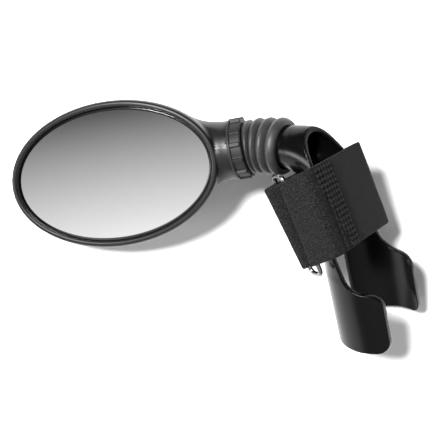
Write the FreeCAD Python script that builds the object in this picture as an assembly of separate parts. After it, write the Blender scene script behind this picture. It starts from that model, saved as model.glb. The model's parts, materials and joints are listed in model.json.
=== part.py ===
import FreeCAD, Part
import math
import os

# Oval bicycle mirror with a ball joint and a half-open saddle bracket that a strap holds on a brake hood.
# It lies face up on a table: +Z is up, and the origin is at the bottom centre of its box.
# The bracket and the head are each built in a frame of their own and are then turned into place.

V = FreeCAD.Vector
X_DIR = V(1, 0, 0)
Y_DIR = V(0, 1, 0)
Z_DIR = V(0, 0, 1)
BIG = 200.0
MESH_STEP = 0.02
TOUCH = 0.01
SAME_POINT = 1e-6

# ---- how the pieces lie (degrees, mm) ----
BRACKET_LEAN = 14.5
BRACKET_RISE = 28.0
OPEN_SIDE_ANGLE = 33.0
HEAD_LEAN = 8.8
HEAD_RISE = 16.27
HEAD_ROLL = 12.0

# ---- saddle bracket: legs, waist and elbow on one centreline (bracket frame, Z along the legs) ----
LEG_R = 19.0
WALL = 2.1
LEG_RUN = 31.0
WAIST_BEND_R = 150.0
WAIST_BEND = 14.0
ELBOW_BEND_R = 22.0
ELBOW_BEND = 72.0
TUBE_RUN = 6.2
TUBE_R = 8.7
# outer radius at each run along the centreline
SECTION_R = [(LEG_RUN, LEG_R), (45.0, 18.2), (58.0, 17.2), (69.0, 15.4), (79.0, 12.9), (89.0, 10.6),
             (101.5, TUBE_R)]
RIM_X = 11.0
PADDLE_TOP = 28.5
# corners of the rim of the open side, each with its rounding radius
RIM_CORNERS = [(-5.0, 0.0, 0), (RIM_X, 0.0, 5.0), (RIM_X, PADDLE_TOP, 6.5), (-1.5, PADDLE_TOP, 9.5),
               (-7.3, 46.0, 30.0), (-8.2, 75.0, 30.0), (-17.6, 93.5, 20.0), (-18.6, 110.0, 0)]
SLOT_HALF = 7.7
SLOT_TOP = 46.0
SLOT_CORNER_R = 4.0
SLOT_DEPTH = 30.0
END_WALL = 3.0

# ---- ball joint (its centre is the head frame's origin) ----
BALL_TO_TUBE = 9.9
BALL_R = 6.0
SHANK_R = 2.5
RUNNING_FIT = 0.05
SHANK_END = 19.6
NUT_AF = 8.0
NUT_H = 4.0
NUT_SIDES = 6
WASHER_R = 5.0
SPRING_R = 4.4
WASHER_T = 1.0
SPRING_T = 1.2
LINER_R = 7.2
LINER_MOUTH = -1.4
CUP_R = 8.2
CUP_MOUTH = -1.8
CUP_END = 18.5
CUP_FLANGE_R = 10.2
CUP_FLANGE = (14.0, 16.5)
SEAM_X = 12.3
COLLAR = (6.4, 12.1)
COLLAR_R = 12.1
COLLAR_LIP_R = 12.9
COLLAR_LIP_W = 1.1
RIB_COUNT = 12
RIB_H = 0.8
RIB_W = 1.5
BOOT_BORE_R = 9.3
BOOT_RIDGE_R = [11.1, 11.6, 11.8, 12.0]
BOOT_VALLEY_R = 10.0
BOOT_CUFF_R = 10.4
BOOT_HEAD_END = 6.1
BOOT_TUBE_END = 11.6
FIT_GAP = 0.1

# ---- mirror head (head frame: X from the ball towards the head, Z out of the glass) ----
HEAD_X = 63.4
HEAD_WALL = 2.0
FACE_Z = 12.3
GLASS_A = 43.4
GLASS_B = 27.8
GLASS_EDGE = 0.8
GLASS_T = 2.0
GLASS_CURVE_R = 700.0
GLASS_TOP = 11.7
BEZEL_T = 1.1
BEZEL_CHAMFER = 0.5
FOAM_A = 39.0
FOAM_B = 24.5
FOAM_BOTTOM = 6.2
NECK_R = 12.25
NECK_END_X = 34.4
NECK_END = (18.2, 7.5)
NECK_STEPS = 9
NECK_FLARE = 1.7
HEAD_OVAL = (46.3, 30.7)
BACK_OVAL = (17.0, 9.5)
BACK_Z = -8.8
RIM_Z = 10.6
BOWL_STEPS = 10
BOWL_FULLNESS = 0.85
BEZEL_OVALS = [(46.0, 30.4, 11.7), (45.2, 29.6, 12.3)]
CAVITY_A = 44.4
CAVITY_B = 28.7
RIB_RING = (26.0, 16.0, 1.5)

# ---- strap (strap frame: Z along the strap's width, the open side at +X, the front leg at -Y) ----
STRAP_AT = 60.0
STRAP_W = 38.0
STRAP_T = 1.2
# the strap runs askew: its edges shift along its width by this much for each mm in X and Y, and at the axis
STRAP_SKEW = (0.266, -0.178, 3.7)
RING_WIRE_R = 1.0
RING_LONG = 47.0
RING_RISE = 1.8
RING_CORNER_R = 2.4
RING_BAR = (-13.6, -19.2)
KEEPER_BAR = (-20.1, -16.4)
FOLD_R = 1.95
# corners of each layer's middle line, each with its rounding radius
BAND_CORNERS = [(-20.4, 0.0, 0), (-20.5, 15.9, 18.0), (0.0, 21.0, 3.0), (-0.3, -20.0, 3.0), (-10.6, -17.7, 0)]
KEEPER_CORNERS = [(-20.4, -0.1, 0), (-20.6, -9.0, 8.0), (-17.38, -16.88, FOLD_R), (-21.44, -19.72, FOLD_R),
                  (-25.4, -9.5, 10.0), (-21.4, 7.0, 0)]
TAIL_CORNERS = [(-13.6, -17.25, 0), (-15.55, -17.25, FOLD_R), (-15.55, -21.15, FOLD_R), (1.05, -22.0, 3.4),
                (1.11, -17.6, 0)]
PATCH_ENDS = [(1.12, -17.5, 0), (1.2, -7.1, 0)]
STITCH = (2.0, 0.5, 0.3)
STITCH_PITCH = 3.0
# shares of the flat stretch at which the rows of stitches lie
KEEPER_ROWS = (0.55, 0.75)
TAIL_ROWS = (0.1, 0.4)


def rounded_path(corners):
    """Wire of straight runs and tangent arcs in the XY plane, from (x, y, radius) corners."""
    points = [V(c[0], c[1], 0) for c in corners]
    edges = []
    last = points[0]
    for i in range(1, len(points) - 1):
        before = (points[i - 1] - points[i]).normalize()
        after = (points[i + 1] - points[i]).normalize()
        half = before.getAngle(after) / 2
        reach = corners[i][2] / math.tan(half)
        middle = (before + after).normalize()
        centre = points[i] + middle * (corners[i][2] / math.sin(half))
        start = points[i] + before * reach
        end = points[i] + after * reach
        if start.distanceToPoint(last) > SAME_POINT:
            edges.append(Part.LineSegment(last, start).toShape())
        edges.append(Part.Arc(start, centre - middle * corners[i][2], end).toShape())
        last = end
    edges.append(Part.LineSegment(last, points[-1]).toShape())
    return Part.Wire(edges)


def centreline(run):
    """Point (x, z) and heading of the bracket's centreline after a length run."""
    bends = [(LEG_RUN, None), (math.radians(WAIST_BEND) * WAIST_BEND_R, WAIST_BEND_R),
             (math.radians(ELBOW_BEND) * ELBOW_BEND_R, ELBOW_BEND_R), (TUBE_RUN, None)]
    x = 0.0
    z = 0.0
    turn = 0.0
    for length, radius in bends:
        step = min(run, length)
        if radius is None:
            x -= step * math.sin(turn)
            z += step * math.cos(turn)
        else:
            after = turn + step / radius
            x -= radius * (math.cos(turn) - math.cos(after))
            z += radius * (math.sin(after) - math.sin(turn))
            turn = after
        run -= step
        if run <= 0:
            break
    return x, z, turn


CENTRELINE_LENGTH = (LEG_RUN + math.radians(WAIST_BEND) * WAIST_BEND_R
                     + math.radians(ELBOW_BEND) * ELBOW_BEND_R + TUBE_RUN)


def circle_on_centreline(run, radius):
    x, z, turn = centreline(run)
    heading = V(-math.sin(turn), 0, math.cos(turn))
    return Part.Wire(Part.makeCircle(radius, V(x, 0, z), heading))


def bracket_form(inset, end):
    """Solid along the centreline, inset from the outer surface, that stops at the run called end."""
    sections = []
    for run, radius in SECTION_R:
        sections.append(circle_on_centreline(min(run, end), radius - inset))
    legs = Part.makeCylinder(LEG_R - inset, LEG_RUN)
    return legs.fuse(Part.makeLoft(sections, True, False))


def open_side_cut():
    path = rounded_path(RIM_CORNERS)
    first = RIM_CORNERS[0]
    last = RIM_CORNERS[-1]
    close = Part.makePolygon([V(last[0], last[1], 0), V(BIG, last[1], 0), V(BIG, -BIG, 0),
                              V(first[0], -BIG, 0), V(first[0], first[1], 0)])
    face = Part.Face(Part.Wire(path.Edges + close.Edges))
    solid = face.extrude(V(0, 0, BIG))
    solid.rotate(V(0, 0, 0), X_DIR, 90)
    solid.translate(V(0, BIG / 2, 0))
    return solid


def slot_cut():
    """Gap between the two legs on the spine side, with rounded mouth corners and a round top."""
    r = SLOT_CORNER_R
    y = SLOT_HALF
    s = math.sin(math.radians(45))
    right = [Part.LineSegment(V(0, -y - r, -1), V(0, -y - r, 0)).toShape(),
             Part.Arc(V(0, -y - r, 0), V(0, -y - r + r * s, r - r * s), V(0, -y, r)).toShape(),
             Part.LineSegment(V(0, -y, r), V(0, -y, SLOT_TOP)).toShape()]
    top = Part.Arc(V(0, -y, SLOT_TOP), V(0, 0, SLOT_TOP + y), V(0, y, SLOT_TOP)).toShape()
    left = [Part.LineSegment(V(0, y, SLOT_TOP), V(0, y, r)).toShape(),
            Part.Arc(V(0, y, r), V(0, y + r - r * s, r - r * s), V(0, y + r, 0)).toShape(),
            Part.LineSegment(V(0, y + r, 0), V(0, y + r, -1)).toShape(),
            Part.LineSegment(V(0, y + r, -1), V(0, -y - r, -1)).toShape()]
    face = Part.Face(Part.Wire(right + [top] + left))
    face.translate(V(-2 * LEG_R, 0, 0))
    return face.extrude(V(SLOT_DEPTH, 0, 0))


def tube_end():
    """Point and direction (towards the ball) of the end of the elbow's tube, in the bracket frame."""
    x, z, turn = centreline(CENTRELINE_LENGTH)
    return V(x, 0, z), V(-math.sin(turn), 0, math.cos(turn))


def saddle_bracket():
    end, out = tube_end()
    body = bracket_form(0, CENTRELINE_LENGTH)
    body = body.cut(bracket_form(WALL, CENTRELINE_LENGTH - END_WALL))
    body = body.cut(open_side_cut()).cut(slot_cut())
    bore = Part.makeCylinder(SHANK_R + RUNNING_FIT, 2 * END_WALL, end - out * (1.5 * END_WALL), out)
    return body.cut(bore)


# ---- where the frames lie ----
def turned(x_axis, y_axis, z_axis, origin):
    """Placement that carries a frame's own axes to the given ones."""
    matrix = FreeCAD.Matrix(x_axis.x, y_axis.x, z_axis.x, origin.x,
                            x_axis.y, y_axis.y, z_axis.y, origin.y,
                            x_axis.z, y_axis.z, z_axis.z, origin.z,
                            0, 0, 0, 1)
    return FreeCAD.Placement(matrix)


def bracket_place():
    lean = math.radians(BRACKET_LEAN)
    rise = math.radians(BRACKET_RISE)
    open_angle = math.radians(OPEN_SIDE_ANGLE)
    up = V(-math.sin(lean) * math.cos(rise), math.cos(lean) * math.cos(rise), math.sin(rise))
    side = (X_DIR - up * up.dot(X_DIR)).normalize()
    above = up.cross(side)
    if above.z < 0:
        above = above * -1
    open_side = side * math.cos(open_angle) + above * math.sin(open_angle)
    return turned(open_side, up.cross(open_side), up, V(0, 0, 0))


def head_axes():
    """The head frame's X and Z in the row frame."""
    lean = math.radians(HEAD_LEAN)
    rise = math.radians(HEAD_RISE)
    roll = math.radians(HEAD_ROLL)
    along = V(-math.cos(rise) * math.cos(lean), -math.cos(rise) * math.sin(lean), -math.sin(rise))
    level = Z_DIR.cross(along).normalize()
    normal = along.cross(level)
    return along, normal * math.cos(roll) + level * math.sin(roll)


BRACKET_PLACE = bracket_place()
TUBE_END, TUBE_OUT = tube_end()
BALL_CENTRE = BRACKET_PLACE.multVec(TUBE_END + TUBE_OUT * BALL_TO_TUBE)
TUBE_AXIS = BRACKET_PLACE.Rotation.multVec(TUBE_OUT) * -1
HEAD_AXIS, GLASS_NORMAL = head_axes()
HEAD_PLACE = turned(HEAD_AXIS, GLASS_NORMAL.cross(HEAD_AXIS), GLASS_NORMAL, BALL_CENTRE)
TILT_AXIS = TUBE_AXIS.cross(HEAD_AXIS).normalize()


def strap_place():
    x, z, turn = centreline(STRAP_AT)
    across = V(math.cos(turn), 0, math.sin(turn))
    along = V(-math.sin(turn), 0, math.cos(turn))
    return BRACKET_PLACE.multiply(turned(across, Y_DIR, along, V(x, 0, z)))


STRAP_PLACE = strap_place()


def placed(shape, placement):
    moved = shape.copy()
    moved.Placement = placement.multiply(moved.Placement)
    return moved


# ---- ball joint ----
def along_tube(run):
    return BALL_CENTRE + TUBE_AXIS * run


def ball_stud():
    """Ball and shank turned in one piece about the tube's axis."""
    neck = math.sqrt(BALL_R ** 2 - SHANK_R ** 2)
    edges = [Part.LineSegment(V(SHANK_END, 0, 0), V(-BALL_R, 0, 0)).toShape(),
             Part.Arc(V(-BALL_R, 0, 0), V(0, BALL_R, 0), V(neck, SHANK_R, 0)).toShape(),
             Part.LineSegment(V(neck, SHANK_R, 0), V(SHANK_END, SHANK_R, 0)).toShape(),
             Part.LineSegment(V(SHANK_END, SHANK_R, 0), V(SHANK_END, 0, 0)).toShape()]
    stud = Part.Face(Part.Wire(edges)).revolve(V(0, 0, 0), X_DIR, 360)
    return placed(stud, FreeCAD.Placement(BALL_CENTRE, FreeCAD.Rotation(X_DIR, TUBE_AXIS)))


def ring_on_tube(outer, inner, start, length):
    ring = Part.makeCylinder(outer, length, along_tube(start), TUBE_AXIS)
    return ring.cut(Part.makeCylinder(inner, length, along_tube(start), TUBE_AXIS))


SPRING_AT = BALL_TO_TUBE + END_WALL
WASHER_AT = SPRING_AT + SPRING_T
NUT_AT = WASHER_AT + WASHER_T


def spring_washer():
    return ring_on_tube(SPRING_R, SHANK_R, SPRING_AT, SPRING_T)


def flat_washer():
    return ring_on_tube(WASHER_R, SHANK_R, WASHER_AT, WASHER_T)


def stud_nut():
    corners = []
    corner_r = NUT_AF / 2 / math.cos(math.pi / NUT_SIDES)
    for i in range(NUT_SIDES + 1):
        angle = 2 * math.pi * i / NUT_SIDES
        corners.append(V(math.cos(angle), math.sin(angle), 0) * corner_r)
    prism = Part.Face(Part.makePolygon(corners)).extrude(V(0, 0, NUT_H))
    prism = prism.cut(Part.makeCylinder(SHANK_R, NUT_H))
    turn = FreeCAD.Rotation(Z_DIR, TUBE_AXIS)
    return placed(prism, FreeCAD.Placement(along_tube(NUT_AT), turn))


def socket_liner():
    shell = Part.makeSphere(LINER_R).cut(Part.makeSphere(BALL_R + RUNNING_FIT))
    mouth = Part.makeBox(BIG, BIG, BIG, V(LINER_MOUTH - BIG, -BIG / 2, -BIG / 2))
    return placed(shell.cut(mouth), HEAD_PLACE)


def cylinder_x(radius, start, end):
    return Part.makeCylinder(radius, end - start, V(start, 0, 0), X_DIR)


def socket_cup():
    cup = cylinder_x(CUP_R, CUP_MOUTH, CUP_END)
    cup = cup.fuse(cylinder_x(CUP_FLANGE_R, CUP_FLANGE[0], CUP_FLANGE[1]))
    return placed(cup.cut(Part.makeSphere(LINER_R + RUNNING_FIT)), HEAD_PLACE)


def collar_ring():
    ring = cylinder_x(COLLAR_R, COLLAR[0], COLLAR[1])
    ring = ring.fuse(cylinder_x(COLLAR_LIP_R, COLLAR[1] - COLLAR_LIP_W, COLLAR[1]))
    for i in range(RIB_COUNT):
        width = COLLAR[1] - COLLAR[0]
        rib = Part.makeBox(width, RIB_W, COLLAR_R + RIB_H, V(COLLAR[0], -RIB_W / 2, 0))
        rib.rotate(V(0, 0, 0), X_DIR, 360.0 / RIB_COUNT * (i + 0.5))
        ring = ring.fuse(rib)
    return placed(ring.cut(cylinder_x(CUP_R + RUNNING_FIT, COLLAR[0], COLLAR[1])), HEAD_PLACE)


def boot_point(share):
    """Point and direction of the boot's bent centreline, from its head end (0) to its tube end (1)."""
    first = BALL_CENTRE + HEAD_AXIS * BOOT_HEAD_END
    last = BALL_CENTRE + TUBE_AXIS * BOOT_TUBE_END
    rest = 1 - share
    point = first * (rest * rest) + BALL_CENTRE * (2 * rest * share) + last * (share * share)
    direction = (BALL_CENTRE - first) * rest + (last - BALL_CENTRE) * share
    return point, direction.normalize()


def boot_form(radii):
    circles = []
    for i, radius in enumerate(radii):
        point, direction = boot_point(i / (len(radii) - 1.0))
        circles.append(Part.Wire(Part.makeCircle(radius, point, direction)))
    return Part.makeLoft(circles, True, True)


def bellows_boot():
    radii = [BOOT_CUFF_R]
    for ridge in BOOT_RIDGE_R:
        radii += [ridge, ridge, BOOT_VALLEY_R]
    radii[-1] = BOOT_CUFF_R
    return boot_form(radii).cut(boot_form([BOOT_BORE_R] * len(radii)))


# ---- mirror head ----
def oval(a, b, z):
    ellipse = Part.Ellipse(V(HEAD_X, 0, z), a, b)
    return Part.Wire(ellipse.toShape())


def oval_prism(a, b, bottom, top):
    return Part.Face(oval(a, b, bottom)).extrude(V(0, 0, top - bottom))


def neck_form():
    """Trumpet from the round seam with the collar to a wide flat oval inside the bowl."""
    sections = []
    for i in range(NECK_STEPS):
        share = i / (NECK_STEPS - 1.0)
        half_y = NECK_R + (NECK_END[0] - NECK_R) * share ** NECK_FLARE
        half_z = NECK_R + (NECK_END[1] - NECK_R) * share ** NECK_FLARE
        wire = Part.Wire(Part.Ellipse(V(0, 0, 0), half_y, half_z).toShape())
        x = SEAM_X + (NECK_END_X - SEAM_X) * share
        sections.append(placed(wire, turned(Y_DIR, Z_DIR, X_DIR, V(x, 0, 0))))
    return Part.makeLoft(sections, True, True)


def bowl_sections(inset):
    """Ovals (half length, half width, height) that swell from the flat back to the rim."""
    ovals = []
    for i in range(BOWL_STEPS):
        angle = math.radians(90.0 * i / (BOWL_STEPS - 1))
        swell = math.sin(angle) ** BOWL_FULLNESS
        a = BACK_OVAL[0] + (HEAD_OVAL[0] - BACK_OVAL[0]) * swell
        b = BACK_OVAL[1] + (HEAD_OVAL[1] - BACK_OVAL[1]) * swell
        z = BACK_Z + inset + (RIM_Z - BACK_Z - inset) * (1 - math.cos(angle))
        ovals.append((a - inset, b - inset, z))
    return ovals


def bowl():
    ovals = bowl_sections(0) + BEZEL_OVALS
    return Part.makeLoft([oval(a, b, z) for a, b, z in ovals], True, True)


def cavity():
    """Hollow of the shells, one wall inside the bowl and closed by the bezel at the top."""
    ovals = bowl_sections(HEAD_WALL)
    ovals[-1] = (CAVITY_A, CAVITY_B, GLASS_TOP - 2 * GLASS_T)
    ovals.append((CAVITY_A, CAVITY_B, FACE_Z - BEZEL_T))
    return Part.makeLoft([oval(a, b, z) for a, b, z in ovals], True, True)


def head_hollow():
    inner = oval(GLASS_A, GLASS_B, FACE_Z - 2 * BEZEL_T)
    outer = oval(GLASS_A + BEZEL_CHAMFER, GLASS_B + BEZEL_CHAMFER, FACE_Z + TOUCH)
    opening = Part.makeLoft([inner, outer], True, True)
    stem = cylinder_x(CUP_R + FIT_GAP, SEAM_X - 1, CUP_END + FIT_GAP)
    flange = cylinder_x(CUP_FLANGE_R + FIT_GAP, CUP_FLANGE[0] - FIT_GAP, CUP_FLANGE[1] + FIT_GAP)
    return cavity().fuse([opening, stem, flange])


def head_shells():
    """Front and rear shell, parted on the plane through the neck's axis."""
    whole = bowl().fuse(neck_form()).cut(head_hollow())
    above = Part.makeBox(BIG, BIG, BIG, V(0, -BIG / 2, 0))
    front = whole.common(above)
    rear = whole.cut(above)
    rib_a, rib_b, rib_t = RIB_RING
    rib = oval_prism(rib_a, rib_b, BACK_Z, FOAM_BOTTOM)
    rib = rib.cut(oval_prism(rib_a - rib_t, rib_b - rib_t, BACK_Z, FOAM_BOTTOM))
    rib = rib.common(bowl())
    return placed(front, HEAD_PLACE), placed(rear.fuse(rib), HEAD_PLACE)


def dome(depth):
    """Ball whose top is the glass's front surface, sunk by depth."""
    return Part.makeSphere(GLASS_CURVE_R - depth, V(HEAD_X, 0, GLASS_TOP - GLASS_CURVE_R))


def mirror_glass():
    plate = oval_prism(GLASS_A + GLASS_EDGE, GLASS_B + GLASS_EDGE, FOAM_BOTTOM, FACE_Z)
    return placed(plate.common(dome(0)).cut(dome(GLASS_T)), HEAD_PLACE)


def foam_pad():
    pad = oval_prism(FOAM_A, FOAM_B, FOAM_BOTTOM, FACE_Z)
    return placed(pad.common(dome(GLASS_T)), HEAD_PLACE)


# ---- strap ----
def edge_shift(x, y):
    return STRAP_SKEW[0] * x + STRAP_SKEW[1] * y + STRAP_SKEW[2]


def between_edges():
    """Slanted slab between the strap's two edges."""
    normal = V(-STRAP_SKEW[0], -STRAP_SKEW[1], 1)
    thick = STRAP_W / normal.Length
    slab = Part.makeBox(BIG, BIG, thick, V(-BIG / 2, -BIG / 2, -thick / 2))
    return placed(slab, FreeCAD.Placement(V(0, 0, STRAP_SKEW[2]), FreeCAD.Rotation(Z_DIR, normal)))


def layer(corners):
    """Fabric layer: a thin rectangle swept along its middle line and cut to the strap's slanted edges."""
    path = rounded_path(corners)
    start = V(corners[0][0], corners[0][1], 0)
    onward = (V(corners[1][0], corners[1][1], 0) - start).normalize()
    across = Z_DIR.cross(onward) * (STRAP_T / 2)
    rise = V(0, 0, STRAP_W)
    profile = Part.makePolygon([start - across - rise, start + across - rise, start + across + rise,
                                start - across + rise, start - across - rise])
    swept = path.makePipeShell([profile], True, True)
    return placed(swept.common(between_edges()), STRAP_PLACE)


def stitch_row(foot, onward, outward):
    """Row of thread bars across the strap on a flat stretch of a layer."""
    length, width, height = STITCH
    count = int((STRAP_W - 2 * length) / STITCH_PITCH)
    bars = []
    for i in range(count + 1):
        low = (i - count / 2.0) * STITCH_PITCH - length / 2
        bar = Part.makeBox(width, height, length, V(-width / 2, 0, low))
        along = V(foot.x, foot.y, edge_shift(foot.x, foot.y))
        bars.append(placed(bar, turned(onward, outward, onward.cross(outward), along)))
    return bars


def flat_stretch(first, second, share, side):
    """Foot, direction and outward normal at a share of the run between two corners."""
    start = V(first[0], first[1], 0)
    end = V(second[0], second[1], 0)
    onward = (end - start).normalize()
    outward = Z_DIR.cross(onward) * side
    return start + (end - start) * share + outward * (STRAP_T / 2), onward, outward


def keeper_stitches():
    rows = []
    for share in KEEPER_ROWS:
        foot, onward, outward = flat_stretch(KEEPER_CORNERS[3], KEEPER_CORNERS[4], share, 1)
        rows += stitch_row(foot, onward, outward)
    return placed(Part.makeCompound(rows), STRAP_PLACE)


def tail_stitches():
    rows = []
    for share in TAIL_ROWS:
        foot, onward, outward = flat_stretch(PATCH_ENDS[0], PATCH_ENDS[1], share, -1)
        rows += stitch_row(foot, onward, outward)
    return placed(Part.makeCompound(rows), STRAP_PLACE)


def strap_ring():
    """Rounded rectangle of wire through both bars."""
    outer = V(RING_BAR[0], RING_BAR[1], RING_RISE)
    inner = V(KEEPER_BAR[0], KEEPER_BAR[1], RING_RISE)
    gap = (outer - inner).Length
    half = RING_LONG / 2 - RING_WIRE_R
    r = RING_CORNER_R
    path = rounded_path([(0, 0, 0), (0, half, r), (gap, half, r), (gap, -half, r), (0, -half, r), (0, 0, 0)])
    circle = Part.Wire(Part.makeCircle(RING_WIRE_R, V(0, 0, 0), Y_DIR))
    ring = path.makePipeShell([circle], True, True)
    across = (inner - outer).normalize()
    return placed(placed(ring, turned(across, Z_DIR, across.cross(Z_DIR), outer)), STRAP_PLACE)


def build_nodes():
    front, rear = head_shells()
    return {
        "saddle_bracket": placed(saddle_bracket(), BRACKET_PLACE),
        "ball_stud": ball_stud(),
        "spring_washer": spring_washer(),
        "flat_washer": flat_washer(),
        "stud_nut": stud_nut(),
        "bellows_boot": bellows_boot(),
        "socket_liner": socket_liner(),
        "socket_cup": socket_cup(),
        "collar_ring": collar_ring(),
        "front_shell": front,
        "rear_shell": rear,
        "mirror_glass": mirror_glass(),
        "foam_pad": foam_pad(),
        "strap_band": layer(BAND_CORNERS),
        "strap_keeper": layer(KEEPER_CORNERS),
        "keeper_stitches": keeper_stitches(),
        "strap_ring": strap_ring(),
        "strap_tail": layer(TAIL_CORNERS),
        "hook_patch": layer(PATCH_ENDS),
        "tail_stitches": tail_stitches(),
    }


def low_corner_and_middle(nodes):
    """Shift that brings the bottom centre of the whole box to the origin."""
    points = []
    for shape in nodes.values():
        points += shape.tessellate(MESH_STEP)[0]
    xs = [p.x for p in points]
    ys = [p.y for p in points]
    zs = [p.z for p in points]
    return V(-(min(xs) + max(xs)) / 2, -(min(ys) + max(ys)) / 2, -min(zs))


def main():
    os.makedirs("parts", exist_ok=True)
    nodes = build_nodes()
    shift = low_corner_and_middle(nodes)
    for name, shape in nodes.items():
        shape.translate(shift)
        shape.exportStep("parts/" + name + ".step")
        print(name, "valid", shape.isValid(), "solids", len(shape.Solids), "mm3", round(shape.Volume, 1),
              "z", round(shape.BoundBox.ZMin, 2), round(shape.BoundBox.ZMax, 2))
    print("shift", shift)
    print("ball centre", BALL_CENTRE + shift)
    print("tube axis", TUBE_AXIS, "head axis", HEAD_AXIS, "tilt axis", TILT_AXIS)
    print("bend at rest", math.degrees(TUBE_AXIS.getAngle(HEAD_AXIS * -1)))
    turn = STRAP_PLACE.Rotation
    print("strap axis", turn.multVec(Z_DIR))
    print("ring bar", STRAP_PLACE.multVec(V(RING_BAR[0], RING_BAR[1], 0)) + shift)
    print("leg axis", BRACKET_PLACE.Rotation.multVec(Z_DIR), "leg end", BRACKET_PLACE.Base + shift)


main()
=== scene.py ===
import json
import math

import bmesh
import bpy
import numpy as np
from mathutils import Matrix, Vector, noise


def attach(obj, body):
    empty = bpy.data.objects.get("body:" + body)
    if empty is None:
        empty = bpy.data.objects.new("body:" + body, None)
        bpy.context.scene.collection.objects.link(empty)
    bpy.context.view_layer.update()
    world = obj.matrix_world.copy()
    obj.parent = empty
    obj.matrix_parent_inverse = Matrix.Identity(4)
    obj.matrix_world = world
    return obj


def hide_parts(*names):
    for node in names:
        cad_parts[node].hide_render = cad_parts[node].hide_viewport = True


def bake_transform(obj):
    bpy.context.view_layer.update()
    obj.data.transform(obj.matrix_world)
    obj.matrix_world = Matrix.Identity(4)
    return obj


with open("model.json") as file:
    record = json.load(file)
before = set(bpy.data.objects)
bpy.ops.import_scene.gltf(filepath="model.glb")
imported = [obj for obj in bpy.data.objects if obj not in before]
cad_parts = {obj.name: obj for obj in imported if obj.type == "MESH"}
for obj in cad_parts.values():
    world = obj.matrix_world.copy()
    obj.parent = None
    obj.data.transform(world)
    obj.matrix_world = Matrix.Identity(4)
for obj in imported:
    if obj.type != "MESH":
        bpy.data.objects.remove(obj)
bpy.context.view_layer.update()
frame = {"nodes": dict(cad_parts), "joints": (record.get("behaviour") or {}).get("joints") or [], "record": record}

MM = 0.001
SEED_SHIFT = Vector((3.7, 1.9, 8.2))

# ---------------------------------------------------------------- frames (mm to the row frame's metres)
JOINTS = {j["name"]: j for j in frame["joints"]}
BALL = Vector(JOINTS["head_tilt"]["pos_m"])
TUBE_AXIS = Vector(JOINTS["ball_spin"]["axis"]).normalized()
HEAD_AXIS = Vector(JOINTS["head_turn"]["axis"]).normalized()
HEAD_ROLL = math.radians(12.0)


def frame_of(x_axis, y_axis, z_axis, origin):
    """Matrix from millimetres along three axes to the row frame's metres."""
    m = Matrix.Identity(4)
    for i, axis in enumerate((x_axis, y_axis, z_axis)):
        for r in range(3):
            m[r][i] = axis[r] * MM
    for r in range(3):
        m[r][3] = origin[r]
    return m


def head_frame():
    """X along the neck's axis away from the ball, Z out of the mirror's face."""
    level = Vector((0, 0, 1)).cross(HEAD_AXIS).normalized()
    normal = HEAD_AXIS.cross(level) * math.cos(HEAD_ROLL) + level * math.sin(HEAD_ROLL)
    return frame_of(HEAD_AXIS, normal.cross(HEAD_AXIS), normal, BALL)


RING_BAR = (-13.6, -19.2)
CLAMP = frame["record"]["mounts"][0]
CLAMP_UP = 15.5


def strap_frame():
    """Z along the strap's width, with the ring's outer bar at RING_BAR in the XY plane."""
    along = -Vector(JOINTS["tail_peel"]["axis"]).normalized()
    y_axis = along.cross(-Vector(CLAMP["axis"])).normalized()
    x_axis = y_axis.cross(along)
    origin = Vector(JOINTS["tail_peel"]["pos_m"]) - (x_axis * RING_BAR[0] + y_axis * RING_BAR[1]) * MM
    return frame_of(x_axis, y_axis, along, origin), y_axis


HEAD = head_frame()
STRAP, STRAP_Y = strap_frame()


def bracket_frame():
    """Z up the clamp's axis from the legs' lower ends."""
    up = -Vector(CLAMP["axis"]).normalized()
    origin = Vector(CLAMP["pos_m"]) - up * CLAMP_UP * MM
    return frame_of(STRAP_Y.cross(up), STRAP_Y, up, origin)


BRACKET = bracket_frame()


def to_row(points, matrix):
    """Points of one of those frames, in the row frame."""
    m = np.array(matrix)
    return np.asarray(points, float) @ m[:3, :3].T + m[:3, 3]


# ---------------------------------------------------------------- meshes
def add_mesh(name, points, faces, matrix, material, uv, sharp=None):
    """Mesh object from points in a frame's millimetres, smooth shaded, with a UV map in millimetres."""
    mesh = bpy.data.meshes.new(name)
    mesh.from_pydata([tuple(p) for p in to_row(points, matrix)], [], [tuple(f) for f in faces])
    mesh.validate()
    layer = mesh.uv_layers.new(name="UVMap")
    index = np.zeros(len(mesh.loops), np.int32)
    mesh.loops.foreach_get("vertex_index", index)
    layer.data.foreach_set("uv", np.asarray(uv, np.float32)[index].ravel())
    bm = bmesh.new()
    bm.from_mesh(mesh)
    bmesh.ops.recalc_face_normals(bm, faces=bm.faces)
    if sharp is not None:
        for edge in bm.edges:
            if len(edge.link_faces) == 2 and edge.calc_face_angle(0) > math.radians(sharp):
                edge.smooth = False
    for face in bm.faces:
        face.smooth = True
    bm.to_mesh(mesh)
    bm.free()
    obj = bpy.data.objects.new(name, mesh)
    bpy.context.scene.collection.objects.link(obj)
    obj.data.materials.append(material)
    return obj


def ring_faces(rows, cols, start=0):
    """Quads between rows of points, each row closing on itself."""
    faces = []
    for r in range(rows - 1):
        for c in range(cols):
            d = (c + 1) % cols
            a = start + r * cols
            faces.append((a + c, a + d, a + cols + d, a + cols + c))
    return faces


def torus_faces(rows, cols):
    """Quads between rows of points, with the last row joined to the first."""
    faces = []
    for r in range(rows):
        s = (r + 1) % rows
        for c in range(cols):
            d = (c + 1) % cols
            faces.append((r * cols + c, r * cols + d, s * cols + d, s * cols + c))
    return faces


def fan_faces(centre, row_start, cols, flip=False):
    """Triangles from one point to a row that closes on itself."""
    faces = []
    for c in range(cols):
        rim = (row_start + c, row_start + (c + 1) % cols)
        faces.append((centre, *(rim[::-1] if flip else rim)))
    return faces


LATHE_UV_R = 10


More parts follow.
